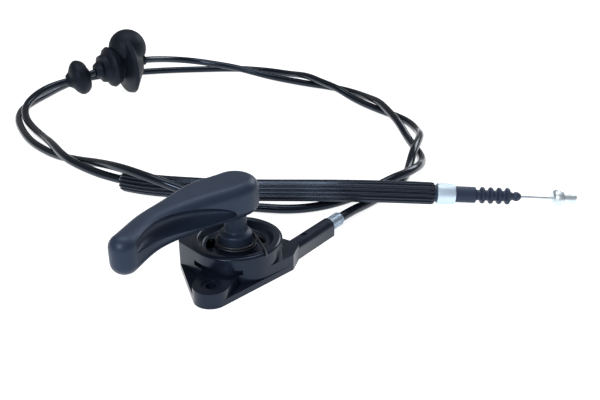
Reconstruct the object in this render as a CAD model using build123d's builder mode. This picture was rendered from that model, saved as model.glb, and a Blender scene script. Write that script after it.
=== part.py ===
from build123d import *
import math
import os

os.makedirs("parts", exist_ok=True)

# Frame: the origin is the front screw hole at the mounting face, Z up, X along the latch end.
# All sizes are in millimetres and all angles in degrees.

# Housing
pivot_x, pivot_y = 11.0, 35.2
cup_r = 26.0
cup_wall = 3.2
cup_h = 18.6
rim_round = 2.2
rim_w = 1.6
dish_slope_w = 4.2
web_top = 14.0
web_t = 2.0
boss_wall = 3.4
boss_rise = 1.8
flange_t = 3.6
lug_r = 9.8
lug_h = 8.8
screw_hole_r = 2.75
screw_seat_r = 5.4
screw_seat_depth = 0.7
rear_lug_angle = 125.0
rear_lug_reach = 35.0
stop_corner_x, stop_corner_y = -17.6, 32.6
stop_corner_r = 3.2
stop_corner_h = 17.6
arm_corner_x, arm_corner_y = 41.8, 31.0
arm_corner_r = 1.6
arm_toe_at = 26.0
pocket_depth = 2.4
pocket_top = 11.8
pocket_from, pocket_span = -147.0, 69.0
window_angles = (-172.0, -65.0, 33.0)
window_span = 42.0
window_inner_gap = 2.4
window_w = 5.2

# Cable arm of the housing
arm_angle = 53.0
arm_w = 9.4
arm_h = 10.4
arm_root = 10.0
arm_root_h = 9.6
arm_end = 62.0
arm_bore_r = 1.7
arm_dimple_r = 1.8
arm_dimple_depth = 1.0
arm_dimple_at = 37.0

# Handle
grip_bottom, grip_top = 34.8, 55.0
grip_round = 6.4
hub_r = 13.6
neck_r = 6.4
collar_r = 9.5
collar_h = 5.8
spindle_r = 6.0
spindle_key = 7.0
neck_fillet = 2.4
grip_stations = (
    (-3.2, 23.4, 13.2),
    (-17.7, 6.1, 9.3),
    (-28.0, -9.0, 7.6),
    (-36.0, -30.0, 7.3),
)
tip_round_r = 7.3
scoop_start_angle = -80.0
scoop_seam_turn = 0.01
scoop_start = (40.0, 1.2, 0.8)
scoop_sections = (
    (42.4, 5.5, 3.8),
    (46.0, 8.0, 5.6),
    (48.0, 6.0, 5.2),
    (49.0, 1.6, 2.6),
)

# Fits
turning_fit = 0.06
axial_play = 0.3
key_fit = 0.08
seat_fit = 0.05
slide_fit = 0.35

# Drum and its fixings
drum_rim_gap = 0.8
drum_groove_depth = 2.5
drum_t = 6.0
groove_w = 1.9
wire_wrap = 60.0
drum_recess_r = 7.6
drum_recess_h = 1.6
drum_window_inner = 9.6
drum_window_rim = 3.9
drum_window_span = 62.0
washer_r = 6.4
washer_t = 0.8
screw_shank_r = 1.95
screw_head_r = 4.0
screw_head_h = 2.0
screw_len = 12.0
screw_slot_w = 1.0
screw_slot_depth = 0.8

# Return spring
spring_wire_r = 0.65
spring_r = 11.0
spring_pitch = 1.6
spring_turns = 2.0
spring_hook_angle = -48.0
spring_hook_drop = 2.2

# Inner wire and conduit
wire_r = 0.75
wire_lead = 9.0
wire_gap = 0.4
nipple_r = 2.6
nipple_h = 5.0
nipple_inset = 0.9
conduit_r = 3.0
conduit_bore_r = wire_r + slide_fit
conduit_start = 54.0
floor_z = conduit_r
over_z = 3 * conduit_r + 0.6

# Arm ferrule
ferrule_r = 4.2
ferrule_wall_end = 1.0
ferrule_end = 74.0
ferrule_flutes = 14
ferrule_flute_r = 0.5
ferrule_lip = 1.4

# Latch end, measured along its axis from the sleeve's mouth
mouth_x, mouth_y, mouth_z = 131.8, 102.4, 13.2
mouth_slope = 2.5
sleeve_r = 7.2
sleeve_wall_fit = 0.25
sleeve_ribs = 16
sleeve_rib_depth = 1.0
bush_r = 5.4
bush_in_sleeve = 8.0
bush_end = 13.4
bush_nose_r = 3.9
bush_nose_end = 24.0
conduit_end = 11.2
end_ferrule_from, end_ferrule_to = 1.8, 13.4
end_ferrule_r = 6.7
end_ferrule_round = 0.7
boot_from, boot_cuff_to = 13.6, 26.8
boot_cuff_r = 5.2
boot_neck_r = 3.4
boot_ridge_r = 5.3
boot_first_ridge = 31.2
boot_ridge_pitch = 5.35
boot_ridges = 4
boot_ridge_w = 2.3
boot_ball_at = 53.0
boot_ball_r = 3.0
boot_mouth = 55.8
guide_r = 1.8
guide_end = 52.0
end_wire_start = 0.6
end_wire_stop = 79.4
end_nipple_from = 76.0
end_nipple_dome_r = 5.7
end_nipple_dome_l = 6.2
end_nipple_stud_r = 3.0
end_nipple_end = 91.6
end_nipple_waist_r = 2.2

# Large grommet, as distances along the conduit and radii
grommet_rim = 1.2
grommet_cuff_r = 5.2
grommet_cuff_l = 17.5
grommet_shoulder_r = 12.4
grommet_shoulder_at = 11.4
grommet_flange_r = 27.0
grommet_flange_at = 1.0
grommet_flange_t = 4.0
grommet_groove_r = 12.6
grommet_groove_from = 5.8
grommet_groove_w = 2.4
grommet_lip_r = 18.0
grommet_lip_to = 17.4
grommet_body_r = 11.6
grommet_body_to = 25.5
grommet_nose_r = 5.4
grommet_nose_to = 30.0
bulb_r = 16.5
bulb_rise = 13.6
bulb_back = 2.5
bulb_band_from, bulb_band_to = 5.4, 8.0
bulb_band_r = 13.0

# Small grommet, as distances along the conduit and radii
slide_cuff_r = 4.8
slide_cuff_l = 9.0
slide_bulb_r = 15.2
slide_bulb_side = 8.2
slide_back_r = 11.2
slide_back_at = 6.4
slide_nose_l = 12.0

# Route of the conduit from the arm to the latch end, chosen by hand from how the loops lie
arm_dir = Vector(math.cos(math.radians(arm_angle)), math.sin(math.radians(arm_angle)), 0)
arm_right = Vector(arm_dir.Y, -arm_dir.X, 0)
cable_z = arm_h - arm_w / 2
cavity_r = cup_r - cup_wall
drum_flange_r = cavity_r - drum_rim_gap
drum_pitch_r = drum_flange_r - drum_groove_depth
nipple_reach = drum_pitch_r - nipple_inset
wire_tangent = Vector(pivot_x, pivot_y, cable_z) + arm_right * drum_pitch_r
mouth_dir = Vector(math.cos(math.radians(mouth_slope)), 0, -math.sin(math.radians(mouth_slope)))
mouth = Vector(mouth_x, mouth_y, mouth_z)


def along_arm(distance):
    return wire_tangent + arm_dir * distance


def along_end(distance):
    return mouth + mouth_dir * distance


big_grommet_start = Vector(-98.0, 354.0, 28.0)
big_grommet_stop = Vector(-122.0, 337.0, 26.4)
small_grommet_start = Vector(-139.0, 327.0, 22.6)
sleeve_run_start = Vector(-85.5, 141.2, 7.6)
route = [
    along_arm(conduit_start),
    along_arm(84.0),
    Vector(90.0, 107.5, floor_z),
    Vector(104.0, 124.5, floor_z),
    Vector(115.5, 140.5, floor_z),
    Vector(122.0, 156.0, floor_z),
    Vector(125.5, 170.0, 4.4),
    Vector(129.5, 183.0, 9.2),
    Vector(134.5, 198.0, 9.8),
    Vector(139.5, 217.0, 8.4),
    Vector(140.5, 238.0, 3.4),
    Vector(136.5, 258.5, floor_z),
    Vector(127.0, 274.0, floor_z),
    Vector(115.0, 288.0, floor_z),
    Vector(103.0, 304.0, floor_z),
    Vector(91.0, 319.0, 4.8),
    Vector(79.0, 331.0, 9.2),
    Vector(66.5, 345.5, 9.8),
    Vector(53.0, 364.0, 10.2),
    Vector(37.0, 387.5, 4.4),
    Vector(15.0, 403.5, floor_z),
    Vector(-16.0, 410.5, floor_z),
    Vector(-52.0, 407.5, floor_z),
    Vector(-86.0, 404.0, floor_z),
    Vector(-118.0, 396.5, floor_z),
    Vector(-145.0, 386.5, floor_z),
    Vector(-163.5, 372.5, floor_z),
    Vector(-174.0, 351.5, floor_z),
    Vector(-180.5, 330.0, floor_z),
    Vector(-187.0, 310.0, floor_z),
    Vector(-190.5, 289.0, floor_z),
    Vector(-186.5, 267.5, floor_z),
    Vector(-178.0, 246.5, floor_z),
    Vector(-163.5, 220.5, floor_z),
    Vector(-149.0, 203.0, floor_z),
    Vector(-132.5, 188.0, floor_z),
    Vector(-112.0, 171.5, 6.4),
    Vector(-92.0, 152.5, 12.6),
    Vector(-72.0, 129.0, 19.4),
    Vector(-48.0, 112.0, 19.0),
    Vector(-25.0, 106.0, 12.6),
    Vector(-1.0, 103.5, 4.6),
    Vector(21.0, 102.0, floor_z),
    Vector(41.0, 99.5, floor_z),
    Vector(60.0, 104.0, floor_z),
    Vector(77.0, 114.0, floor_z),
    Vector(93.0, 125.5, 4.0),
    Vector(108.0, 133.0, 9.4),
    Vector(121.0, 143.0, 9.8),
    Vector(129.5, 156.0, 8.4),
    Vector(134.5, 171.5, 4.4),
    Vector(136.5, 188.0, floor_z),
    Vector(133.5, 206.0, floor_z),
    Vector(130.5, 224.0, 3.4),
    Vector(126.0, 243.0, 8.0),
    Vector(120.5, 264.0, 9.8),
    Vector(114.0, 288.5, 10.4),
    Vector(107.0, 311.0, 6.4),
    Vector(94.5, 337.0, floor_z),
    Vector(76.0, 351.5, floor_z),
    Vector(56.0, 360.5, floor_z),
    Vector(36.0, 372.0, floor_z),
    Vector(13.0, 383.5, 4.2),
    Vector(-14.0, 391.0, over_z),
    Vector(-38.0, 398.0, 11.6),
    Vector(-59.0, 399.5, 14.2),
    Vector(-80.0, 383.0, 20.4),
    big_grommet_start,
    big_grommet_stop,
    small_grommet_start,
    Vector(-155.0, 321.0, 19.0),
    Vector(-171.0, 313.5, 16.0),
    Vector(-180.0, 298.0, 13.2),
    Vector(-184.0, 281.0, 9.2),
    Vector(-178.5, 262.0, 5.6),
    Vector(-168.0, 246.0, 3.2),
    Vector(-153.0, 223.0, 4.6),
    Vector(-138.0, 196.0, 10.0),
    Vector(-121.0, 168.0, 10.2),
    Vector(-104.0, 153.5, 8.8),
    sleeve_run_start,
    Vector(-57.5, 126.6, 8.1),
    Vector(-29.0, 120.0, 8.9),
    Vector(1.0, 114.6, 9.8),
    Vector(32.0, 110.6, 11.4),
    Vector(64.0, 105.4, 13.8),
    along_end(-34.0),
    along_end(conduit_end),
]
big_grommet_run = route.index(big_grommet_start)
small_grommet_run = route.index(small_grommet_start)
sleeve_run = route.index(sleeve_run_start)


def bend_radii(points):
    """Radius of each corner: 0.45 of the shorter run, over the tangent of half the turn."""
    radii = []
    for before, at, after in zip(points, points[1:], points[2:]):
        run_in = at - before
        run_out = after - at
        half_turn = math.radians(run_in.get_angle(run_out)) / 2
        radii.append(0.45 * min(run_in.length, run_out.length) / math.tan(half_turn))
    return radii


radii = bend_radii(route)


def run_plane(index):
    """Plane across the conduit at the middle of one run of its route."""
    start, stop = route[index], route[index + 1]
    return Plane(origin=(start + stop) * 0.5, z_dir=(stop - start).normalized())


# Housing: low base with the lugs and the arm's root, then the cup, then the openings
pivot = (pivot_x, pivot_y)
pivot_plane = Plane(origin=(pivot_x, pivot_y, 0))
rear_lug = (
    pivot_x + rear_lug_reach * math.cos(math.radians(rear_lug_angle)),
    pivot_y + rear_lug_reach * math.sin(math.radians(rear_lug_angle)),
)
stop_corner = (stop_corner_x, stop_corner_y)
arm_corner = (arm_corner_x, arm_corner_y)
cavity_top = web_top - web_t
spindle_bore_r = spindle_r + turning_fit
boss_r = spindle_bore_r + boss_wall
drum_bottom = cable_z - drum_t / 2
drum_top = cable_z + drum_t / 2
boss_bottom = drum_top + axial_play
boss_top = web_top + boss_rise
dish_r = cup_r - rim_round - rim_w
window_mid_r = boss_r + window_inner_gap + window_w / 2
window_arc = CenterArc((0, 0), window_mid_r, -window_span / 2, window_span)
arm_section = Plane(origin=tuple(along_arm(arm_root)), x_dir=tuple(arm_right * -1), z_dir=tuple(arm_dir))
arm_toe = along_arm(arm_toe_at) + arm_right * (arm_w / 2 - arm_corner_r)

with BuildPart() as housing:
    with BuildSketch():
        Circle(lug_r)
        with Locations(stop_corner):
            Circle(stop_corner_r)
        with Locations(arm_corner):
            Circle(arm_corner_r)
        make_hull()
    extrude(amount=flange_t)
    with BuildSketch():
        with Locations(rear_lug):
            Circle(lug_r)
        with Locations(stop_corner):
            Circle(stop_corner_r)
        with Locations(pivot):
            Circle(cup_r)
        make_hull()
    extrude(amount=flange_t)
    with BuildSketch():
        with Locations(pivot):
            Circle(cup_r)
        with Locations(arm_corner, (arm_toe.X, arm_toe.Y)):
            Circle(arm_corner_r)
        make_hull()
    extrude(amount=arm_root_h)
    with BuildSketch():
        with Locations(pivot):
            Circle(cup_r)
        with Locations(stop_corner):
            Circle(stop_corner_r)
        make_hull()
    extrude(amount=stop_corner_h)
    for lug in ((0, 0), rear_lug):
        with BuildSketch():
            with Locations(lug):
                Circle(lug_r)
            with Locations(pivot):
                Circle(cup_r / 2)
            make_hull()
        extrude(amount=lug_h)
    with BuildSketch(arm_section):
        with BuildLine():
            Line((arm_w / 2, 0), (arm_w / 2, -cable_z))
            Line((arm_w / 2, -cable_z), (-arm_w / 2, -cable_z))
            Line((-arm_w / 2, -cable_z), (-arm_w / 2, 0))
            ThreePointArc((-arm_w / 2, 0), (0, arm_h - cable_z), (arm_w / 2, 0))
        make_face()
    extrude(amount=arm_end - arm_root)
    with BuildSketch(pivot_plane):
        Circle(cup_r - cup_wall / 2)
    extrude(amount=cup_h, mode=Mode.SUBTRACT)
    with BuildSketch(Plane(origin=(pivot_x, pivot_y, 0), x_dir=(1, 0, 0), z_dir=(0, -1, 0))):
        with BuildLine():
            Polyline(
                (cavity_r, cavity_top),
                (cavity_r, 0),
                (cup_r, 0),
                (cup_r, cup_h - rim_round),
            )
            TangentArc((cup_r, cup_h - rim_round), (cup_r - rim_round, cup_h), tangent=(0, 1))
            Line((cup_r - rim_round, cup_h), (dish_r, cup_h))
            Spline(
                (dish_r, cup_h),
                (dish_r - dish_slope_w, web_top),
                tangents=[(-1, 0), (-1, 0)],
                tangent_scalars=[1.0, 1.0],
            )
            Polyline(
                (dish_r - dish_slope_w, web_top),
                (boss_r, web_top),
                (boss_r, boss_top),
                (spindle_bore_r, boss_top),
                (spindle_bore_r, boss_bottom),
                (boss_r, boss_bottom),
                (boss_r, cavity_top),
                (cavity_r, cavity_top),
            )
        make_face()
    revolve(axis=Axis((pivot_x, pivot_y, 0), (0, 0, 1)))
    with BuildSketch(pivot_plane.offset(cavity_top)):
        for angle in window_angles:
            with PolarLocations(0, 1, start_angle=angle):
                SlotArc(window_arc, height=window_w)
    extrude(amount=web_t, mode=Mode.SUBTRACT)
    with BuildSketch(pivot_plane.offset(lug_h)):
        with BuildLine():
            pocket_out = CenterArc((0, 0), cup_r + 1, pocket_from, pocket_span)
            pocket_in = CenterArc((0, 0), cup_r - pocket_depth, pocket_from, pocket_span)
            Line(pocket_out @ 0, pocket_in @ 0)
            Line(pocket_out @ 1, pocket_in @ 1)
        make_face()
    extrude(amount=pocket_top - lug_h, mode=Mode.SUBTRACT)
    with Locations((0, 0, lug_h), (rear_lug[0], rear_lug[1], lug_h)):
        CounterBoreHole(screw_hole_r, screw_seat_r, screw_seat_depth)
    arm_axis_plane = Plane(origin=tuple(along_arm(0)), x_dir=tuple(arm_right), z_dir=tuple(arm_dir))
    with BuildSketch(arm_axis_plane):
        Circle(arm_bore_r)
    extrude(amount=arm_end, mode=Mode.SUBTRACT)
    with BuildSketch(arm_axis_plane.offset(conduit_start - ferrule_wall_end)):
        Circle(ferrule_r + seat_fit)
    extrude(amount=arm_end, mode=Mode.SUBTRACT)
    dimple = along_arm(arm_dimple_at)
    with BuildSketch(Plane(origin=(dimple.X, dimple.Y, arm_h - arm_dimple_depth))):
        Circle(arm_dimple_r)
    extrude(amount=arm_h, mode=Mode.SUBTRACT)
housing.part.label = "housing"
export_step(housing.part, "parts/housing.step")
print("housing", housing.part.volume)

# Handle: a plan outline with rounded edges, a finger scoop on the inner side, neck and spindle


def heading(index):
    """Direction of the grip's middle line at a station, from the stations beside it."""
    line = [(pivot_x, pivot_y)] + [(x, y) for x, y, half in grip_stations]
    before = line[index]
    after = line[min(index + 2, len(line) - 1)]
    step = Vector(after[0] - before[0], after[1] - before[1], 0)
    return step.normalized()


outer_side, inner_side = [], []
for index, (x, y, half) in enumerate(grip_stations):
    forward = heading(index)
    inner_side.append((x - forward.Y * half, y + forward.X * half))
    outer_side.append((x + forward.Y * half, y - forward.X * half))
first = heading(0)
last = heading(len(grip_stations) - 1)
hub_outer = (pivot_x + first.Y * hub_r, pivot_y - first.X * hub_r)
hub_inner = (pivot_x - first.Y * hub_r, pivot_y + first.X * hub_r)
hub_back = (pivot_x - first.X * hub_r, pivot_y - first.Y * hub_r)
tip_x, tip_y = grip_stations[-1][:2]
tip_end = (tip_x + last.X * tip_round_r, tip_y + last.Y * tip_round_r)

scoop_planes = []
start_angle = math.radians(scoop_start_angle)
start_side = Vector(math.cos(start_angle), math.sin(start_angle), 0)
start_at = Vector(pivot_x, pivot_y, scoop_start[0]) + start_side * hub_r
scoop_planes.append(Plane(origin=start_at, x_dir=start_side, z_dir=start_side.cross(Vector(0, 0, 1))))
for index, (side_x, side_y) in enumerate(inner_side):
    forward = heading(index)
    side = Vector(-forward.Y, forward.X, 0)
    middle = Vector(side_x, side_y, scoop_sections[index][0])
    scoop_planes.append(Plane(origin=middle, x_dir=side, z_dir=side.cross(Vector(0, 0, 1))))
with BuildPart() as scoop:
    for plane, (middle_z, depth, half_height) in zip(scoop_planes, (scoop_start,) + scoop_sections):
        with BuildSketch(plane):
            with BuildLine():
                EllipticalCenterArc(
                    (0, 0), depth, half_height, start_angle=scoop_seam_turn, arc_size=360
                )
            make_face()
    loft()

with BuildPart() as handle:
    with BuildSketch(Plane.XY.offset(grip_bottom)):
        with BuildLine():
            Spline(
                [hub_outer] + outer_side,
                tangents=[(first.X, first.Y), (last.X, last.Y)],
            )
            ThreePointArc(outer_side[-1], tip_end, inner_side[-1])
            Spline(
                list(reversed(inner_side)) + [hub_inner],
                tangents=[(-last.X, -last.Y), (-first.X, -first.Y)],
            )
            ThreePointArc(hub_inner, hub_back, hub_outer)
        make_face()
    extrude(amount=grip_top - grip_bottom)
    fillet(handle.edges().group_by(Axis.Z)[0] + handle.edges().group_by(Axis.Z)[-1], grip_round)
    print("grip", handle.part.volume)
    add(scoop, mode=Mode.SUBTRACT)
    print("scooped", handle.part.volume)
    collar_bottom = boss_top + axial_play
    collar_top = collar_bottom + collar_h
    with BuildSketch(Plane(origin=(pivot_x, pivot_y, 0), x_dir=(1, 0, 0), z_dir=(0, -1, 0))):
        with BuildLine():
            Polyline(
                (0, drum_top),
                (spindle_r, drum_top),
                (spindle_r, collar_bottom),
                (collar_r, collar_bottom),
                (collar_r, collar_top - neck_fillet / 2),
            )
            Spline(
                (collar_r, collar_top - neck_fillet / 2),
                (neck_r, collar_top + neck_fillet),
                tangents=[(0, 1), (0, 1)],
            )
            Polyline(
                (neck_r, collar_top + neck_fillet),
                (neck_r, grip_bottom + grip_round),
                (0, grip_bottom + grip_round),
                (0, drum_top),
            )
        make_face()
    revolve(axis=Axis((pivot_x, pivot_y, 0), (0, 0, 1)))
    with BuildSketch(Plane(origin=(pivot_x, pivot_y, drum_bottom + drum_recess_h))):
        Rectangle(spindle_key, spindle_key, rotation=arm_angle)
    extrude(amount=drum_t - drum_recess_h)
    with BuildSketch(Plane(origin=(pivot_x, pivot_y, drum_bottom + drum_recess_h))):
        Circle(screw_shank_r + seat_fit)
    extrude(amount=screw_len, mode=Mode.SUBTRACT)
handle.part.label = "handle"
export_step(handle.part, "parts/handle.step")
print("handle", handle.part.volume)

# Cable drum: grooved rim, square bore, screw recess, three windows and the nipple's pocket
wire_angle = arm_angle - 90
nipple_angle = wire_angle - wire_wrap
groove_r = drum_pitch_r - wire_r - seat_fit
pivot_axis = Axis((pivot_x, pivot_y, 0), (0, 0, 1))
pivot_profile = Plane(origin=(pivot_x, pivot_y, 0), x_dir=(1, 0, 0), z_dir=(0, -1, 0))
drum_window_outer = drum_pitch_r - drum_window_rim
drum_window_mid_r = (drum_window_inner + drum_window_outer) / 2
drum_window_arc = CenterArc((0, 0), drum_window_mid_r, -drum_window_span / 2, drum_window_span)
with BuildPart() as cable_drum:
    with BuildSketch(pivot_profile):
        with BuildLine():
            Polyline(
                (0, drum_bottom),
                (drum_flange_r, drum_bottom),
                (drum_flange_r, cable_z - groove_w),
                (groove_r, cable_z - groove_w / 2),
                (groove_r, cable_z + groove_w / 2),
                (drum_flange_r, cable_z + groove_w),
                (drum_flange_r, drum_top),
                (0, drum_top),
                (0, drum_bottom),
            )
        make_face()
    revolve(axis=pivot_axis)
    with BuildSketch(pivot_plane.offset(drum_bottom)):
        Rectangle(spindle_key + 2 * key_fit, spindle_key + 2 * key_fit, rotation=arm_angle)
    extrude(amount=drum_t, mode=Mode.SUBTRACT)
    with BuildSketch(pivot_plane.offset(drum_bottom)):
        Circle(drum_recess_r)
    extrude(amount=drum_recess_h, mode=Mode.SUBTRACT)
    with BuildSketch(pivot_plane.offset(drum_bottom)):
        for angle in (60, 180, 300):
            with PolarLocations(0, 1, start_angle=nipple_angle + angle):
                SlotArc(drum_window_arc, height=drum_window_outer - drum_window_inner)
    extrude(amount=drum_t, mode=Mode.SUBTRACT)
    with BuildSketch(pivot_plane.offset(drum_bottom)):
        with PolarLocations(nipple_reach, 1, start_angle=nipple_angle):
            Circle(nipple_r + seat_fit)
    extrude(amount=cable_z + nipple_h / 2 + seat_fit - drum_bottom, mode=Mode.SUBTRACT)
cable_drum.part.label = "cable_drum"
export_step(cable_drum.part, "parts/cable_drum.step")

with BuildPart() as drum_nipple:
    with BuildSketch(pivot_plane.offset(cable_z - nipple_h / 2)):
        with PolarLocations(nipple_reach, 1, start_angle=nipple_angle):
            Circle(nipple_r)
    extrude(amount=nipple_h)
drum_nipple.part.label = "drum_nipple"
export_step(drum_nipple.part, "parts/drum_nipple.step")

with BuildPart() as drum_washer:
    with BuildSketch(pivot_plane.offset(drum_bottom + drum_recess_h - washer_t)):
        Circle(washer_r)
        Circle(screw_shank_r + seat_fit, mode=Mode.SUBTRACT)
    extrude(amount=washer_t)
drum_washer.part.label = "drum_washer"
export_step(drum_washer.part, "parts/drum_washer.step")

head_top = drum_bottom + drum_recess_h - washer_t
with BuildPart() as drum_screw:
    with BuildSketch(pivot_plane.offset(head_top - screw_head_h)):
        Circle(screw_head_r)
    extrude(amount=screw_head_h)
    chamfer(drum_screw.edges().group_by(Axis.Z)[0], screw_head_h / 4)
    with BuildSketch(pivot_plane.offset(head_top)):
        Circle(screw_shank_r)
    extrude(amount=screw_len)
    with BuildSketch(pivot_plane.offset(head_top - screw_head_h)):
        Rectangle(1.2 * screw_head_r, screw_slot_w)
        Rectangle(screw_slot_w, 1.2 * screw_head_r)
    extrude(amount=screw_slot_depth, mode=Mode.SUBTRACT)
drum_screw.part.label = "drum_screw"
export_step(drum_screw.part, "parts/drum_screw.step")

# Inner wire at the pull end: a lead into the groove and round the drum, and the stretch in the arm
nipple_half_angle = math.degrees(math.asin((nipple_r + seat_fit) / drum_pitch_r))
with BuildPart() as drum_wire:
    with BuildLine() as drum_wire_path:
        Line(tuple(along_arm(wire_lead)), tuple(along_arm(0)))
        with BuildLine(Plane(origin=(pivot_x, pivot_y, cable_z))):
            CenterArc((0, 0), drum_pitch_r, wire_angle, nipple_half_angle - wire_wrap)
    with BuildSketch(Plane(origin=tuple(along_arm(wire_lead)), z_dir=tuple(arm_dir * -1))):
        Circle(wire_r)
    sweep(path=drum_wire_path.line)
drum_wire.part.label = "drum_wire"
export_step(drum_wire.part, "parts/drum_wire.step")

wire_travel = math.radians(55.0) * drum_pitch_r
arm_wire_end = ferrule_end - wire_r
with BuildPart() as arm_wire:
    with BuildSketch(arm_axis_plane.offset(wire_lead + wire_gap)):
        Circle(wire_r)
    extrude(amount=arm_wire_end - wire_lead - wire_gap)
arm_wire.part.label = "arm_wire"
export_step(arm_wire.part, "parts/arm_wire.step")

with BuildPart() as arm_ferrule:
    with BuildSketch(arm_axis_plane.offset(conduit_start - ferrule_wall_end)):
        Circle(ferrule_r)
    extrude(amount=ferrule_end - conduit_start + ferrule_wall_end)
    fillet(arm_ferrule.faces().sort_by(Axis(tuple(along_arm(0)), tuple(arm_dir)))[-1].edges(), ferrule_lip)
    with BuildSketch(arm_axis_plane.offset(conduit_start)):
        Circle(conduit_r + seat_fit)
    extrude(amount=ferrule_end, mode=Mode.SUBTRACT)
    with BuildSketch(arm_axis_plane.offset(conduit_start - ferrule_wall_end)):
        Circle(conduit_bore_r)
    extrude(amount=ferrule_wall_end, mode=Mode.SUBTRACT)
    with BuildSketch(arm_axis_plane.offset(arm_end + ferrule_lip / 2)):
        with PolarLocations(ferrule_r + ferrule_flute_r / 3, ferrule_flutes):
            Circle(ferrule_flute_r)
    extrude(amount=ferrule_end - arm_end - 1.5 * ferrule_lip, mode=Mode.SUBTRACT)
arm_ferrule.part.label = "arm_ferrule"
export_step(arm_ferrule.part, "parts/arm_ferrule.step")
print("ferrule", arm_ferrule.part.volume, len(arm_ferrule.part.solids()))

# Return spring: two turns round the collar, and a leg that hooks over the cup's rim
spring_bottom = web_top + spring_wire_r + seat_fit
spring_top = spring_bottom + spring_pitch * spring_turns
hook_r = cup_r + spring_wire_r + seat_fit
leg_turn = math.degrees(math.acos(spring_r / hook_r))
leg_angle = spring_hook_angle + leg_turn
leg_z = cup_h + spring_wire_r + seat_fit


def round_pivot(radius, angle, height):
    at = math.radians(angle)
    return Vector(pivot_x + radius * math.cos(at), pivot_y + radius * math.sin(at), height)


leg_start = round_pivot(spring_r, leg_angle, spring_top)
leg_hook = round_pivot(hook_r, spring_hook_angle, leg_z)
leg_along = Vector(leg_hook.X - leg_start.X, leg_hook.Y - leg_start.Y, 0).normalized()
leg_rise = leg_hook - leg_along * (2.2 * rim_round + rim_w)
spring_plane = Plane(
    origin=(pivot_x, pivot_y, spring_bottom),
    x_dir=tuple(round_pivot(1, leg_angle, 0) - Vector(pivot_x, pivot_y, 0)),
    z_dir=(0, 0, 1),
)
with BuildPart() as return_spring:
    with BuildLine(spring_plane) as coil_path:
        Helix(spring_pitch, spring_top - spring_bottom, spring_r, lefthand=True)
    with BuildSketch(Plane(origin=coil_path.line @ 0, z_dir=coil_path.line % 0)):
        Circle(spring_wire_r)
    sweep(path=coil_path.line, is_frenet=True)
    with BuildLine() as leg_path:
        FilletPolyline(
            leg_start - leg_along * spring_wire_r,
            leg_start + leg_along * spring_wire_r * 3,
            leg_rise,
            leg_hook,
            leg_hook - Vector(0, 0, spring_hook_drop),
            radius=spring_wire_r * 1.4,
        )
    with BuildSketch(Plane(origin=leg_path.line @ 0, z_dir=leg_path.line % 0)):
        Circle(spring_wire_r)
    sweep(path=leg_path.line)
return_spring.part.label = "return_spring"
export_step(return_spring.part, "parts/return_spring.step")
print("spring", return_spring.part.volume, len(return_spring.part.solids()))

# Conduit: one tube along the whole route, bored at both ends for the sliding wire
end_plane = Plane(origin=mouth, z_dir=mouth_dir)
bore_overrun = 1.0
with BuildPart() as conduit:
    with BuildLine():
        conduit_path = FilletPolyline(*route, radius=radii)
    with BuildSketch(Plane(origin=route[0], z_dir=arm_dir)):
        Circle(conduit_r)
    sweep(path=conduit_path)
    swept_volume = conduit.part.volume
    with BuildSketch(arm_axis_plane.offset(conduit_start)):
        Circle(conduit_bore_r)
    extrude(amount=arm_wire_end - conduit_start + bore_overrun, mode=Mode.SUBTRACT)
    with BuildSketch(end_plane.offset(end_wire_start - wire_travel - bore_overrun)):
        Circle(conduit_bore_r)
    extrude(amount=conduit_end - end_wire_start + wire_travel + bore_overrun, mode=Mode.SUBTRACT)
conduit.part.label = "conduit"
export_step(conduit.part, "parts/conduit.step")
conduit_length = conduit_path.length
print("conduit length", round(conduit_length, 1))
print("volume over section times length", swept_volume / (math.pi * conduit_r**2 * conduit_length))
print("radii", [round(radius) for radius in radii])
print("runs", [round((b - a).length) for a, b in zip(route, route[1:])])


def conduit_passage(run, reach):
    """Line of the conduit near one run, to bore what is threaded on it."""
    first_corner = run - reach
    last_corner = run + 1 + reach
    with BuildLine():
        passage = FilletPolyline(
            *route[first_corner : last_corner + 1],
            radius=radii[first_corner : last_corner - 1],
        )
    return passage


# Large grommet: cuff, wide flange, groove and lip for the panel, body and nose, with a bulb on top


def threaded_profile(plane):
    """Plane of a turned outline: X is the radius and Y runs along the conduit."""
    return Plane(origin=plane.origin, x_dir=plane.x_dir, z_dir=plane.x_dir.cross(plane.z_dir))


big_plane = run_plane(big_grommet_run)
big_passage = conduit_passage(big_grommet_run, 3)
big_axis = Axis(big_plane.origin, big_plane.z_dir)
flange_back = grommet_flange_t - grommet_flange_at
groove_to = grommet_groove_from + grommet_groove_w
bulb_centre = big_plane.origin - big_plane.z_dir * bulb_back + Vector(0, 0, bulb_rise)
with BuildPart() as bulb:
    with Locations(bulb_centre):
        Sphere(bulb_r)
    band_bottom = big_plane.origin.Z + bulb_band_from
    with BuildSketch(Plane(origin=(bulb_centre.X, bulb_centre.Y, band_bottom))):
        Circle(bulb_r + 1)
        Circle(bulb_band_r, mode=Mode.SUBTRACT)
    extrude(amount=bulb_band_to - bulb_band_from, mode=Mode.SUBTRACT)

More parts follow.
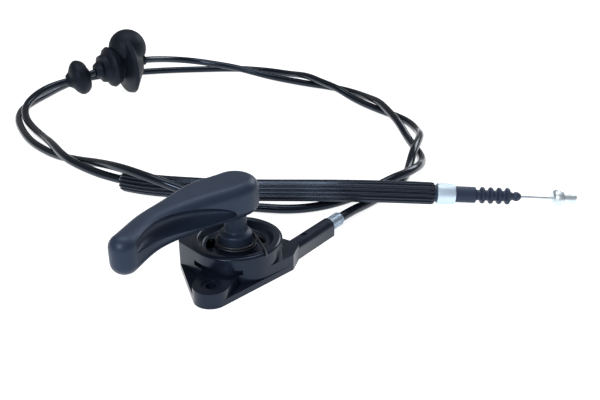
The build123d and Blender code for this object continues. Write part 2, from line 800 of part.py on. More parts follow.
with BuildPart() as bulkhead_grommet:
    with BuildSketch(threaded_profile(big_plane)):
        with BuildLine():
            Polyline(
                (0, -grommet_cuff_l),
                (grommet_cuff_r, -grommet_cuff_l),
                (grommet_cuff_r, -grommet_shoulder_at - grommet_rim),
                (grommet_shoulder_r, -grommet_shoulder_at),
                (grommet_flange_r - grommet_rim, -grommet_flange_at),
                (grommet_flange_r, 0),
                (grommet_flange_r - grommet_rim, flange_back),
                (grommet_groove_r + grommet_rim, grommet_groove_from),
                (grommet_groove_r, grommet_groove_from + grommet_rim / 2),
                (grommet_groove_r, groove_to),
                (grommet_lip_r - 2 * grommet_rim, groove_to + grommet_rim),
                (grommet_lip_r, grommet_lip_to - 2 * grommet_rim),
                (grommet_lip_r - grommet_rim, grommet_lip_to),
                (grommet_body_r + grommet_rim, grommet_lip_to + 2 * grommet_rim),
                (grommet_body_r, grommet_body_to - grommet_rim),
                (grommet_nose_r + 2 * grommet_rim, grommet_body_to),
                (grommet_nose_r, grommet_nose_to),
                (0, grommet_nose_to),
                (0, -grommet_cuff_l),
            )
        make_face()
    revolve(axis=big_axis)
    add(bulb)
    with BuildSketch(Plane(origin=big_passage @ 0, z_dir=big_passage % 0)):
        Circle(conduit_r + seat_fit)
    sweep(path=big_passage, mode=Mode.SUBTRACT)
bulkhead_grommet.part.label = "bulkhead_grommet"
export_step(bulkhead_grommet.part, "parts/bulkhead_grommet.step")
print("big grommet", bulkhead_grommet.part.volume, len(bulkhead_grommet.part.solids()), bulkhead_grommet.part.bounding_box())

small_plane = run_plane(small_grommet_run)
small_passage = conduit_passage(small_grommet_run, 3)
with BuildPart() as slide_grommet:
    with BuildSketch(threaded_profile(small_plane)):
        with BuildLine():
            Polyline(
                (0, -slide_cuff_l),
                (slide_cuff_r, -slide_cuff_l),
                (slide_cuff_r + grommet_rim, -slide_bulb_side),
            )
            Spline(
                (slide_cuff_r + grommet_rim, -slide_bulb_side),
                (0.8 * slide_bulb_r, -0.7 * slide_bulb_side),
                (slide_bulb_r, 0),
                (slide_back_r, slide_back_at),
                tangents=[(1, 0.1), (-0.8, 0.6)],
            )
            Polyline(
                (slide_back_r, slide_back_at),
                (slide_cuff_r + 2 * grommet_rim, slide_back_at + 2 * grommet_rim),
                (slide_cuff_r, slide_nose_l),
                (0, slide_nose_l),
                (0, -slide_cuff_l),
            )
        make_face()
    revolve(axis=Axis(small_plane.origin, small_plane.z_dir))
    with BuildSketch(Plane(origin=small_passage @ 0, z_dir=small_passage % 0)):
        Circle(conduit_r + seat_fit)
    sweep(path=small_passage, mode=Mode.SUBTRACT)
slide_grommet.part.label = "slide_grommet"
export_step(slide_grommet.part, "parts/slide_grommet.step")
print("small grommet", slide_grommet.part.volume, len(slide_grommet.part.solids()), slide_grommet.part.bounding_box())

# Ribbed sleeve over the last stretch, from the middle of one run to its mouth
sleeve_points = [(route[sleeve_run] + route[sleeve_run + 1]) * 0.5] + route[sleeve_run + 1 : -1] + [mouth]
sleeve_radii = radii[sleeve_run:]
sleeve_bore_r = conduit_r + sleeve_wall_fit
with BuildPart() as ribbed_sleeve:
    with BuildLine():
        sleeve_path = FilletPolyline(*sleeve_points, radius=sleeve_radii)
    with BuildSketch(Plane(origin=sleeve_path @ 0, z_dir=sleeve_path % 0)):
        Circle(sleeve_r)
        with PolarLocations(sleeve_r, sleeve_ribs):
            Rectangle(2 * sleeve_rib_depth, math.pi * sleeve_r / sleeve_ribs, mode=Mode.SUBTRACT)
        Circle(sleeve_bore_r, mode=Mode.SUBTRACT)
    sweep(path=sleeve_path)
    with BuildSketch(end_plane.offset(-bush_in_sleeve - seat_fit)):
        Circle(bush_r + seat_fit)
    extrude(amount=bush_in_sleeve + 1, mode=Mode.SUBTRACT)
ribbed_sleeve.part.label = "ribbed_sleeve"
export_step(ribbed_sleeve.part, "parts/ribbed_sleeve.step")
print("sleeve", ribbed_sleeve.part.volume, len(ribbed_sleeve.part.solids()), sleeve_path.length)

# Latch end: turned and moulded pieces on one axis
end_axis = Axis(mouth, mouth_dir)
end_profile = Plane(origin=mouth, x_dir=end_plane.x_dir, z_dir=end_plane.x_dir.cross(mouth_dir))


def turned_piece(*points):
    """Piece turned about the end's axis, given as points (radius, distance along the axis)."""
    with BuildPart() as piece:
        with BuildSketch(end_profile):
            with BuildLine():
                Polyline(*points, points[0])
            make_face()
        revolve(axis=end_axis)
    return piece.part


end_bush = turned_piece(
    (conduit_r + seat_fit, -bush_in_sleeve),
    (bush_r, -bush_in_sleeve),
    (bush_r, bush_end),
    (bush_nose_r, bush_end),
    (bush_nose_r, bush_nose_end),
    (guide_r + seat_fit, bush_nose_end),
    (guide_r + seat_fit, conduit_end + seat_fit),
    (conduit_r + seat_fit, conduit_end + seat_fit),
)
end_bush.label = "end_bush"
export_step(end_bush, "parts/end_bush.step")

with BuildPart() as end_ferrule:
    add(
        turned_piece(
            (bush_r + seat_fit, end_ferrule_from),
            (end_ferrule_r, end_ferrule_from),
            (end_ferrule_r, end_ferrule_to),
            (bush_r + seat_fit, end_ferrule_to),
        )
    )
    rims = end_ferrule.edges().filter_by(GeomType.CIRCLE)
    fillet(rims.group_by(SortBy.RADIUS)[-1], end_ferrule_round)
end_ferrule.part.label = "end_ferrule"
export_step(end_ferrule.part, "parts/end_ferrule.step")

with BuildPart() as wire_guide:
    with BuildSketch(end_plane.offset(conduit_end + 2 * seat_fit)):
        Circle(guide_r)
        Circle(conduit_bore_r, mode=Mode.SUBTRACT)
    extrude(amount=guide_end - conduit_end - 2 * seat_fit)
wire_guide.part.label = "wire_guide"
export_step(wire_guide.part, "parts/wire_guide.step")

ridge_outline = []
for ridge in range(boot_ridges):
    middle = boot_first_ridge + ridge * boot_ridge_pitch
    ridge_outline += [
        (boot_neck_r, middle - 0.72 * boot_ridge_w),
        (boot_ridge_r - 0.5, middle - boot_ridge_w / 2),
        (boot_ridge_r, middle - boot_ridge_w / 4),
        (boot_ridge_r, middle + boot_ridge_w / 4),
        (boot_ridge_r - 0.5, middle + boot_ridge_w / 2),
        (boot_neck_r, middle + 0.72 * boot_ridge_w),
    ]
guide_clear_r = guide_r + 3 * seat_fit
dust_boot = turned_piece(
    (bush_nose_r + seat_fit, boot_from),
    (boot_cuff_r, boot_from),
    (boot_cuff_r, boot_cuff_to - 0.5),
    (boot_cuff_r - 0.5, boot_cuff_to),
    (boot_neck_r, boot_cuff_to),
    *ridge_outline,
    (boot_neck_r - 0.9, boot_ball_at - boot_ball_r + 0.2),
    (boot_ball_r - 0.6, boot_ball_at - 0.6 * boot_ball_r),
    (boot_ball_r, boot_ball_at - 0.25 * boot_ball_r),
    (boot_ball_r, boot_ball_at + 0.25 * boot_ball_r),
    (boot_ball_r - 0.8, boot_ball_at + 0.7 * boot_ball_r),
    (conduit_bore_r + 0.5, boot_mouth),
    (conduit_bore_r, boot_mouth),
    (conduit_bore_r, guide_end + seat_fit),
    (guide_clear_r, guide_end + seat_fit),
    (guide_clear_r, bush_nose_end + seat_fit),
    (bush_nose_r + seat_fit, bush_nose_end + seat_fit),
)
dust_boot.label = "dust_boot"
export_step(dust_boot, "parts/dust_boot.step")

with BuildPart() as pull_wire:
    with BuildSketch(end_plane.offset(end_wire_start)):
        Circle(wire_r)
    extrude(amount=end_wire_stop - end_wire_start)
pull_wire.part.label = "pull_wire"
export_step(pull_wire.part, "parts/pull_wire.step")

dome_back = end_nipple_from + end_nipple_dome_l
with BuildPart() as end_nipple:
    with BuildSketch(end_profile):
        with BuildLine():
            Polyline(
                (0, end_wire_stop + seat_fit),
                (wire_r + seat_fit, end_wire_stop + seat_fit),
                (wire_r + seat_fit, end_nipple_from),
                (end_nipple_waist_r, end_nipple_from),
            )
            Spline(
                (end_nipple_waist_r, end_nipple_from),
                (end_nipple_dome_r, dome_back - 1.2),
                tangents=[(1, 0), (0, 1)],
            )
            Polyline(
                (end_nipple_dome_r, dome_back - 1.2),
                (end_nipple_dome_r - 0.3, dome_back),
                (end_nipple_waist_r, dome_back),
                (end_nipple_waist_r, dome_back + 1.0),
                (end_nipple_stud_r, dome_back + 1.3),
                (end_nipple_stud_r, end_nipple_end - 1.2),
                (end_nipple_stud_r - 0.9, end_nipple_end),
                (0, end_nipple_end),
                (0, end_wire_stop + seat_fit),
            )
        make_face()
    revolve(axis=end_axis)
end_nipple.part.label = "end_nipple"
export_step(end_nipple.part, "parts/end_nipple.step")
end_pieces = (end_bush, end_ferrule.part, dust_boot, end_nipple.part)
print("end pieces", [(piece.label, len(piece.solids()), round(piece.volume, 1)) for piece in end_pieces])
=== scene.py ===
# %% [markdown]
# # Hood release cable
# A pull handle turns on a screw-down housing. A drum under it winds a steel wire, and the wire
# runs through two metres of sheathed conduit to a stud that trips the hood latch.
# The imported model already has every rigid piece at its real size. Here each piece gets its
# finish, and the conduit, the ribbed sleeve and the stranded wire are modelled again for the eye.

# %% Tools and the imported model
import math

import bmesh
import bpy
from mathutils import Matrix, Vector


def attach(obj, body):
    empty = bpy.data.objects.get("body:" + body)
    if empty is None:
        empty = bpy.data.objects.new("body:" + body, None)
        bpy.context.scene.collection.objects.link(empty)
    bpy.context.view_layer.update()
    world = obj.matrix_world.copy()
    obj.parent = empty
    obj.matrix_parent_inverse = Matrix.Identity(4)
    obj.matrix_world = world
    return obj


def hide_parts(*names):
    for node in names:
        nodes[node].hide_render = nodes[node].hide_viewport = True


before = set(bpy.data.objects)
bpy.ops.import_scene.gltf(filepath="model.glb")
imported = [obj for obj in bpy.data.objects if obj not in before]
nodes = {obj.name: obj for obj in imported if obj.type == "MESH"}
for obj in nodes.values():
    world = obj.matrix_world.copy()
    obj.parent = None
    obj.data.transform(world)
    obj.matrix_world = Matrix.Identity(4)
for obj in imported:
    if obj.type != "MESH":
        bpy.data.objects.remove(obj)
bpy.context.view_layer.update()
MM = 0.001

# %% [markdown]
# ## Camera
# The photograph looks down at the cable from in front of the handle, tilted 26 degrees below
# the horizon. A 48 mm lens on a 36 mm sensor gives its field of view.

# %% Camera
camera_tilt = 64.0
camera_place = (0.0468, -0.3576, 0.2328)
lens_mm = 48
sensor_mm = 36
nearest_seen = 0.01
camera = bpy.data.objects.new("camera", bpy.data.cameras.new("camera"))
camera.location = camera_place
camera.rotation_euler = (math.radians(camera_tilt), 0, 0)
camera.data.lens = lens_mm
camera.data.sensor_width = sensor_mm
camera.data.clip_start = nearest_seen
bpy.context.scene.collection.objects.link(camera)
bpy.context.scene.camera = camera

# %% [markdown]
# ## Where the cable's two ends leave
# The wire leaves the drum along the housing's arm, which points 53 degrees round from X. The
# latch end points along X and drops two and a half degrees. Both directions come up again and
# again below, so they are worked out once.

# %% Directions and ends of the cable
arm_angle = math.radians(53)
arm_dir = Vector((math.cos(arm_angle), math.sin(arm_angle), 0))
arm_right = Vector((arm_dir.y, -arm_dir.x, 0))
pivot = Vector((11.0, 35.2, 0)) * MM
cable_height = 5.7 * MM
drum_pitch_r = 19.5 * MM
wire_tangent = pivot + arm_right * drum_pitch_r + Vector((0, 0, cable_height))
end_slope = math.radians(2.5)
end_dir = Vector((math.cos(end_slope), 0, -math.sin(end_slope)))
mouth = Vector((131.8, 102.4, 13.2)) * MM


def along_arm(distance):
    return wire_tangent + arm_dir * distance * MM


def along_end(distance):
    return mouth + end_dir * distance * MM


# %% [markdown]
# ## The conduit's route
# A real conduit is one length of stiff tube, so its line is one smooth curve. The points are
# the corners that the curve is drawn towards, in millimetres. It lies on the floor, and rises
# where one turn of the loop rides over the other, and towards the grommets and the sleeve.

# %% Route
floor_z = 3.0
over_z = 9.6
conduit_r = 3.0
conduit_from, straight_to = 54.0, 84.0
lead_in, conduit_to = -34.0, 11.2
sleeve_from = (-85.5, 141.2, 7.6)
route = [
    along_arm(conduit_from),
    along_arm(straight_to),
    (90.0, 107.5, floor_z),
    (104.0, 124.5, floor_z),
    (115.5, 140.5, floor_z),
    (122.0, 156.0, floor_z),
    (125.5, 170.0, 4.4),
    (129.5, 183.0, 9.2),
    (134.5, 198.0, 9.8),
    (139.5, 217.0, 8.4),
    (140.5, 238.0, 3.4),
    (136.5, 258.5, floor_z),
    (127.0, 274.0, floor_z),
    (115.0, 288.0, floor_z),
    (103.0, 304.0, floor_z),
    (91.0, 319.0, 4.8),
    (79.0, 331.0, 9.2),
    (66.5, 345.5, 9.8),
    (53.0, 364.0, 10.2),
    (37.0, 387.5, 4.4),
    (15.0, 403.5, floor_z),
    (-16.0, 410.5, floor_z),
    (-52.0, 407.5, floor_z),
    (-86.0, 404.0, floor_z),
    (-118.0, 396.5, floor_z),
    (-145.0, 386.5, floor_z),
    (-163.5, 372.5, floor_z),
    (-174.0, 351.5, floor_z),
    (-180.5, 330.0, floor_z),
    (-187.0, 310.0, floor_z),
    (-190.5, 289.0, floor_z),
    (-186.5, 267.5, floor_z),
    (-178.0, 246.5, floor_z),
    (-163.5, 220.5, floor_z),
    (-149.0, 203.0, floor_z),
    (-132.5, 188.0, floor_z),
    (-112.0, 171.5, 6.4),
    (-92.0, 152.5, 12.6),
    (-72.0, 129.0, 19.4),
    (-48.0, 112.0, 19.0),
    (-25.0, 106.0, 12.6),
    (-1.0, 103.5, 4.6),
    (21.0, 102.0, floor_z),
    (41.0, 99.5, floor_z),
    (60.0, 104.0, floor_z),
    (77.0, 114.0, floor_z),
    (93.0, 125.5, 4.0),
    (108.0, 133.0, 9.4),
    (121.0, 143.0, 9.8),
    (129.5, 156.0, 8.4),
    (134.5, 171.5, 4.4),
    (136.5, 188.0, floor_z),
    (133.5, 206.0, floor_z),
    (130.5, 224.0, 3.4),
    (126.0, 243.0, 8.0),
    (120.5, 264.0, 9.8),
    (114.0, 288.5, 10.4),
    (107.0, 311.0, 6.4),
    (94.5, 337.0, floor_z),
    (76.0, 351.5, floor_z),
    (56.0, 360.5, floor_z),
    (36.0, 372.0, floor_z),
    (13.0, 383.5, 4.2),
    (-14.0, 391.0, over_z),
    (-38.0, 398.0, 11.6),
    (-59.0, 399.5, 14.2),
    (-80.0, 383.0, 20.4),
    (-98.0, 354.0, 28.0),
    (-122.0, 337.0, 26.4),
    (-139.0, 327.0, 22.6),
    (-155.0, 321.0, 19.0),
    (-171.0, 313.5, 16.0),
    (-180.0, 298.0, 13.2),
    (-184.0, 281.0, 9.2),
    (-178.5, 262.0, 5.6),
    (-168.0, 246.0, 3.2),
    (-153.0, 223.0, 4.6),
    (-138.0, 196.0, 10.0),
    (-121.0, 168.0, 10.2),
    (-104.0, 153.5, 8.8),
    sleeve_from,
    (-57.5, 126.6, 8.1),
    (-29.0, 120.0, 8.9),
    (1.0, 114.6, 9.8),
    (32.0, 110.6, 11.4),
    (64.0, 105.4, 13.8),
    along_end(lead_in),
    along_end(conduit_to),
]
route = [point if isinstance(point, Vector) else Vector(point) * MM for point in route]
sleeve_run = route.index(Vector(sleeve_from) * MM)
print("route points", len(route), "sleeve from", sleeve_run)

# %% [markdown]
# ## Colour, grain and gloss
# Every dark piece is one of a few plastics and rubbers, so what they share is built once as a
# node group: a slow drift of colour, a fine moulded grain, and faint scuffs that dull the
# gloss. Each material sets its own numbers on it. The group gives out only a colour, a
# roughness and a height; the shader stays in the material, where an exporter can read it.


# %% Node helpers
def new_socket(group, name, kind, default=None, output=False):
    """One named input or output of a node group."""
    side = "OUTPUT" if output else "INPUT"
    socket = group.interface.new_socket(name=name, in_out=side, socket_type=kind)
    if default is not None:
        socket.default_value = default


def add_node(tree, kind, **values):
    """A node with its settings and unlinked inputs filled in by name."""
    node = tree.nodes.new(kind)
    for name, value in values.items():
        if hasattr(node, name):
            setattr(node, name, value)
        else:
            node.inputs[name.replace("_", " ")].default_value = value
    return node


def math_node(tree, operation, first, second):
    """A Math node of two inputs, each a number or another node's output."""
    node = tree.nodes.new("ShaderNodeMath")
    node.operation = operation
    for socket, value in zip(node.inputs, (first, second)):
        if isinstance(value, (int, float)):
            socket.default_value = value
        else:
            tree.links.new(value, socket)
    return node.outputs[0]


def mix_colour(tree, factor, first, second):
    """A Mix node on colours, whose colour sockets are inputs 6 and 7 and output 2."""
    node = tree.nodes.new("ShaderNodeMix")
    node.data_type = "RGBA"
    for number, value in ((0, factor), (6, first), (7, second)):
        socket = node.inputs[number]
        if isinstance(value, (int, float, tuple)):
            socket.default_value = value
        else:
            tree.links.new(value, socket)
    return node.outputs[2]


# %% Moulded surface group
drift_scale = 60.0
grain_scale = 2500.0
scuff_scale = 3.7 * drift_scale
drift_from, drift_to = 0.35, 0.7
scuff_from, scuff_to = 0.56, 0.72
drift_colour = 0.6
drift_rough = 0.08
scuff_rough = 0.3


def moulded_surface_group():
    """Colour drift, moulded grain and scuffs, for plastics and rubbers."""
    group = bpy.data.node_groups.new("moulded_surface", "ShaderNodeTree")
    new_socket(group, "Colour", "NodeSocketColor", (0.02, 0.02, 0.03, 1))
    new_socket(group, "Lighter", "NodeSocketColor", (0.04, 0.04, 0.05, 1))
    new_socket(group, "Grain", "NodeSocketFloat", 0.5)
    new_socket(group, "Roughness", "NodeSocketFloat", 0.4)
    new_socket(group, "Scuffs", "NodeSocketFloat", 0.1)
    new_socket(group, "Colour", "NodeSocketColor", output=True)
    new_socket(group, "Roughness", "NodeSocketFloat", output=True)
    new_socket(group, "Height", "NodeSocketFloat", output=True)
    take = group.nodes.new("NodeGroupInput")
    give = group.nodes.new("NodeGroupOutput")
    place = group.nodes.new("ShaderNodeTexCoord")
    drift = add_node(group, "ShaderNodeTexNoise", Scale=drift_scale, Detail=3.0)
    grain = add_node(group, "ShaderNodeTexNoise", Scale=grain_scale, Detail=2.0, Roughness=0.6)
    scuff = add_node(
        group, "ShaderNodeTexNoise", Scale=scuff_scale, Detail=5.0, Roughness=0.65, Distortion=1.5
    )
    links = group.links
    for noise in (drift, grain, scuff):
        links.new(place.outputs["Object"], noise.inputs["Vector"])
    soft = add_node(group, "ShaderNodeMapRange", From_Min=drift_from, From_Max=drift_to)
    links.new(drift.outputs["Fac"], soft.inputs["Value"])
    marks = add_node(group, "ShaderNodeMapRange", From_Min=scuff_from, From_Max=scuff_to)
    links.new(scuff.outputs["Fac"], marks.inputs["Value"])
    worn = math_node(group, "MULTIPLY", marks.outputs[0], take.outputs["Scuffs"])
    tint = math_node(group, "MULTIPLY", soft.outputs[0], drift_colour)
    tint = math_node(group, "ADD", tint, worn)
    links.new(
        mix_colour(group, tint, take.outputs["Colour"], take.outputs["Lighter"]),
        give.inputs["Colour"],
    )
    uneven = math_node(group, "SUBTRACT", soft.outputs[0], 0.5)
    uneven = math_node(group, "MULTIPLY", uneven, drift_rough)
    rough = math_node(group, "ADD", take.outputs["Roughness"], uneven)
    rough = math_node(group, "ADD", rough, math_node(group, "MULTIPLY", worn, scuff_rough))
    links.new(rough, give.inputs["Roughness"])
    height = math_node(group, "MULTIPLY", grain.outputs["Fac"], take.outputs["Grain"])
    links.new(height, give.inputs["Height"])
    return group


moulded_surface = moulded_surface_group()
print("group", moulded_surface.name, "nodes", len(moulded_surface.nodes))


# %% Moulded materials
cool_gloss = (0.55, 0.72, 1.0)
plain_gloss = (1.0, 1.0, 1.0)
grain_bump = 0.25
grain_depth = 0.12 * MM


def moulded(name, colour, lighter, roughness, grain=0.5, scuffs=0.1, specular=0.5, tint=cool_gloss):
    """A plastic or rubber: the shared surface feeds one shader."""
    material = bpy.data.materials.new(name)
    material.use_nodes = True
    tree = material.node_tree
    shader = tree.nodes["Principled BSDF"]
    surface = tree.nodes.new("ShaderNodeGroup")
    surface.node_tree = moulded_surface
    surface.inputs["Colour"].default_value = (*colour, 1)
    surface.inputs["Lighter"].default_value = (*lighter, 1)
    surface.inputs["Grain"].default_value = grain
    surface.inputs["Roughness"].default_value = roughness
    surface.inputs["Scuffs"].default_value = scuffs
    bump = tree.nodes.new("ShaderNodeBump")
    bump.inputs["Strength"].default_value = grain_bump
    bump.inputs["Distance"].default_value = grain_depth
    tree.links.new(surface.outputs["Colour"], shader.inputs["Base Color"])
    tree.links.new(surface.outputs["Roughness"], shader.inputs["Roughness"])
    tree.links.new(surface.outputs["Height"], bump.inputs["Height"])
    tree.links.new(bump.outputs["Normal"], shader.inputs["Normal"])
    shader.inputs["Specular IOR Level"].default_value = specular
    shader.inputs["Specular Tint"].default_value = (*tint, 1)
    return material


handle_plastic = moulded("handle_plastic", (0.020, 0.031, 0.058), (0.028, 0.041, 0.071), 0.42, grain=0.6)
housing_plastic = moulded(
    "housing_plastic", (0.007, 0.010, 0.021), (0.012, 0.016, 0.030), 0.25, grain=0.15, specular=0.42
)
drum_plastic = moulded("drum_plastic", (0.016, 0.019, 0.028), (0.026, 0.030, 0.040), 0.45)
sheath_plastic = moulded("sheath_plastic", (0.003, 0.004, 0.007), (0.006, 0.008, 0.013), 0.2, grain=0.25)
grommet_rubber = moulded(
    "grommet_rubber", (0.004, 0.005, 0.009), (0.009, 0.011, 0.018), 0.52, grain=0.8, specular=0.3
)
sleeve_rubber = moulded(
    "sleeve_rubber", (0.005, 0.006, 0.011), (0.010, 0.013, 0.021), 0.2, grain=0.2, specular=0.6
)
boot_rubber = moulded("boot_rubber", (0.030, 0.041, 0.072), (0.040, 0.053, 0.088), 0.42, grain=0.5)
liner_plastic = moulded(
    "liner_plastic", (0.62, 0.62, 0.58), (0.72, 0.72, 0.70), 0.4, scuffs=0.05, tint=plain_gloss
)

# %% [markdown]
# ## Bright metal
# The two ferrules, the end fitting, the wire and the fasteners are plated. Fine marks run along
# the piece where it was drawn, so one group stretches a noise along a direction, and lets it
# change the roughness and the height a little.


# %% Drawn metal group
mark_scale = 900.0
patch_scale = 220.0
patch_from, patch_to = 0.42, 0.68
patch_colour = 0.5
patch_rough = 0.12
mark_bump = 0.2
mark_depth = 0.08 * MM


def drawn_metal_group():
    """Fine marks stretched along one axis, and slow dull patches, for plated metal."""
    group = bpy.data.node_groups.new("drawn_metal", "ShaderNodeTree")
    new_socket(group, "Colour", "NodeSocketColor", (0.6, 0.65, 0.7, 1))
    new_socket(group, "Duller", "NodeSocketColor", (0.35, 0.38, 0.42, 1))
    new_socket(group, "Roughness", "NodeSocketFloat", 0.25)
    new_socket(group, "Marks", "NodeSocketFloat", 0.2)
    new_socket(group, "Vector", "NodeSocketVector")
    new_socket(group, "Colour", "NodeSocketColor", output=True)
    new_socket(group, "Roughness", "NodeSocketFloat", output=True)
    new_socket(group, "Height", "NodeSocketFloat", output=True)
    take = group.nodes.new("NodeGroupInput")
    give = group.nodes.new("NodeGroupOutput")
    links = group.links
    marks = add_node(group, "ShaderNodeTexNoise", Scale=mark_scale, Detail=3.0)
    patches = add_node(group, "ShaderNodeTexNoise", Scale=patch_scale, Detail=4.0)
    links.new(take.outputs["Vector"], marks.inputs["Vector"])
    links.new(take.outputs["Vector"], patches.inputs["Vector"])
    dull = add_node(group, "ShaderNodeMapRange", From_Min=patch_from, From_Max=patch_to)
    links.new(patches.outputs["Fac"], dull.inputs["Value"])
    share = math_node(group, "MULTIPLY", dull.outputs[0], patch_colour)
    links.new(
        mix_colour(group, share, take.outputs["Colour"], take.outputs["Duller"]),
        give.inputs["Colour"],
    )
    rough = math_node(group, "MULTIPLY", marks.outputs["Fac"], take.outputs["Marks"])
    rough = math_node(group, "ADD", rough, take.outputs["Roughness"])
    rough = math_node(group, "ADD", rough, math_node(group, "MULTIPLY", dull.outputs[0], patch_rough))
    links.new(rough, give.inputs["Roughness"])
    links.new(marks.outputs["Fac"], give.inputs["Height"])
    return group


drawn_metal = drawn_metal_group()


def plated(name, colour, duller, roughness, marks=0.2, direction=(1, 0, 0), stretch=8.0):
    """Plated metal with marks drawn out along one direction."""
    material = bpy.data.materials.new(name)
    material.use_nodes = True
    tree = material.node_tree
    shader = tree.nodes["Principled BSDF"]
    surface = tree.nodes.new("ShaderNodeGroup")
    surface.node_tree = drawn_metal
    surface.inputs["Colour"].default_value = (*colour, 1)
    surface.inputs["Duller"].default_value = (*duller, 1)
    surface.inputs["Roughness"].default_value = roughness
    surface.inputs["Marks"].default_value = marks
    place = tree.nodes.new("ShaderNodeTexCoord")
    turn = tree.nodes.new("ShaderNodeMapping")
    turn.inputs["Rotation"].default_value = (0, 0, -math.atan2(direction[1], direction[0]))
    turn.inputs["Scale"].default_value = (1 / stretch, 1, 1)
    bump = tree.nodes.new("ShaderNodeBump")
    bump.inputs["Strength"].default_value = mark_bump
    bump.inputs["Distance"].default_value = mark_depth
    tree.links.new(place.outputs["Object"], turn.inputs["Vector"])
    tree.links.new(turn.outputs["Vector"], surface.inputs["Vector"])
    tree.links.new(surface.outputs["Colour"], shader.inputs["Base Color"])
    tree.links.new(surface.outputs["Roughness"], shader.inputs["Roughness"])
    tree.links.new(surface.outputs["Height"], bump.inputs["Height"])
    tree.links.new(bump.outputs["Normal"], shader.inputs["Normal"])
    shader.inputs["Metallic"].default_value = 1.0
    return material


arm_metal = plated("arm_metal", (0.40, 0.50, 0.61), (0.22, 0.28, 0.35), 0.3, direction=arm_dir)
end_metal = plated("end_metal", (0.68, 0.82, 0.95), (0.46, 0.57, 0.68), 0.36)
cast_metal = plated("cast_metal", (0.80, 0.89, 0.95), (0.55, 0.63, 0.70), 0.26, stretch=1.5)
wire_metal = plated("wire_metal", (0.56, 0.62, 0.66), (0.32, 0.36, 0.40), 0.3)
steel_metal = plated("steel_metal", (0.42, 0.46, 0.50), (0.24, 0.27, 0.30), 0.34, stretch=1.5)
# The return spring's steel is coloured near black, far darker than the other steel. This is painted shade:
# it stands for the shade down in the dish under the hub, where the spring sits.
spring_metal_painted_shade = plated("spring_metal_painted_shade", (0.085, 0.095, 0.115), (0.05, 0.056, 0.07), 0.42)

# %% [markdown]
# ## Smooth copies of the rigid pieces
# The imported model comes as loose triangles. Their corners are joined in a copy of each piece,
# and the copy is shaded smooth except at real edges, so that curved plastic catches one clean
# highlight. The copy keeps the shape and the place, and stands for the node it came from.


# %% Smooth copies
joined_within = 0.002 * MM
sliver_within = 0.001 * MM
sharp_from = math.radians(32.0)


def smooth_copy(node, body, slot, material):
    """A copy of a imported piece, merged and shaded smooth, that stands for it."""
    mesh = nodes[node].data.copy()
    form = bmesh.new()
    form.from_mesh(mesh)
    bmesh.ops.remove_doubles(form, verts=form.verts, dist=joined_within)
    bmesh.ops.dissolve_degenerate(form, edges=form.edges, dist=sliver_within)
    for face in form.faces:
        face.smooth = True
    for edge in form.edges:
        turned = len(edge.link_faces) == 2 and edge.calc_face_angle(0) > sharp_from
        edge.smooth = not turned
    form.to_mesh(mesh)
    form.free()
    if "custom_normal" in mesh.attributes:
        mesh.attributes.remove(mesh.attributes["custom_normal"])
    piece = bpy.data.objects.new(node + "_finish", mesh)
    bpy.context.scene.collection.objects.link(piece)
    mesh.materials.clear()
    mesh.materials.append(material)
    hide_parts(node)
    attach(piece, body)
    kept_sharp = sum(edge.use_edge_sharp for edge in mesh.edges)
    print(node, "triangles", len(mesh.polygons), "edges kept sharp", kept_sharp)
    return piece


rigid_pieces = [
    ("housing", "housing", "moulded_housing", housing_plastic),
    ("arm_ferrule", "housing", "bright_ferrule", arm_metal),
    ("return_spring", "housing", "plated_steel", spring_metal_painted_shade),
    ("bulkhead_grommet", "housing", "grommet_rubber", grommet_rubber),
    ("slide_grommet", "housing", "grommet_rubber", grommet_rubber),
    ("end_bush", "housing", "moulded_housing", boot_rubber),
    ("end_ferrule", "housing", "bright_ferrule", end_metal),
    ("dust_boot", "housing", "grommet_rubber", boot_rubber),
    ("wire_guide", "housing", "white_liner", liner_plastic),
    ("handle", "handle", "moulded_handle", handle_plastic),
    ("cable_drum", "handle", "moulded_drum", drum_plastic),
    ("drum_nipple", "handle", "cast_end_fitting", cast_metal),
    ("drum_washer", "handle", "plated_steel", steel_metal),
    ("drum_screw", "handle", "plated_steel", steel_metal),
    ("drum_wire", "handle", "plated_steel", wire_metal),
    ("arm_wire", "wire_near", "plated_steel", wire_metal),
    ("end_nipple", "wire_far", "cast_end_fitting", cast_metal),
]
finished = {row[0]: smooth_copy(*row) for row in rigid_pieces}

# %% [markdown]
# ## The conduit
# One NURBS curve through the route's control points, with a round bevel. The order and the end
# points are set after the points are in, or the curve stays a chain of straight runs.


# %% Conduit
steps_along = 12
steps_round = 6


def route_curve(name, points, radius):
    """A smooth tube drawn towards the points, starting and ending on the first and last."""
    curve = bpy.data.curves.new(name, "CURVE")
    curve.dimensions = "3D"
    curve.resolution_u = steps_along
    curve.bevel_depth = radius
    curve.bevel_resolution = steps_round
    curve.use_fill_caps = True
    spline = curve.splines.new("NURBS")
    spline.points.add(len(points) - 1)
    for point, place in zip(spline.points, points):
        point.co = (*place, 1)
    spline.order_u = 3
    spline.use_endpoint_u = True
    spline.use_smooth = True
    tube = bpy.data.objects.new(name, curve)
    bpy.context.scene.collection.objects.link(tube)
    return tube


def line_of(points):
    """The points of the smooth line itself, read from a curve with no bevel."""
    bare = route_curve("bare_line", points, 0)
    bare.data.use_fill_caps = False
    bpy.context.view_layer.update()
    solved = bare.evaluated_get(bpy.context.evaluated_depsgraph_get())
    mesh = bpy.data.meshes.new_from_object(solved)
    line = [vertex.co.copy() for vertex in mesh.vertices]
    bpy.data.meshes.remove(mesh)
    bpy.data.objects.remove(bare)
    return line


conduit = route_curve("conduit_sheath", route, conduit_r * MM)
conduit.data.materials.append(sheath_plastic)
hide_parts("conduit")
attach(conduit, "housing")
conduit_line = line_of(route)
conduit_length = sum((b - a).length for a, b in zip(conduit_line, conduit_line[1:]))
print("conduit length", round(conduit_length, 4), "line points", len(conduit_line))

# %% [markdown]
# ## Sweeping a section along a line
# The ribbed sleeve and the twisted wire are both one outline carried along a line. A ring of
# vertices is made with a circle, shaped, and copied from station to station, and the rings are
# bridged. Each ring is turned with the line, so that the ribs don't twist on their own.


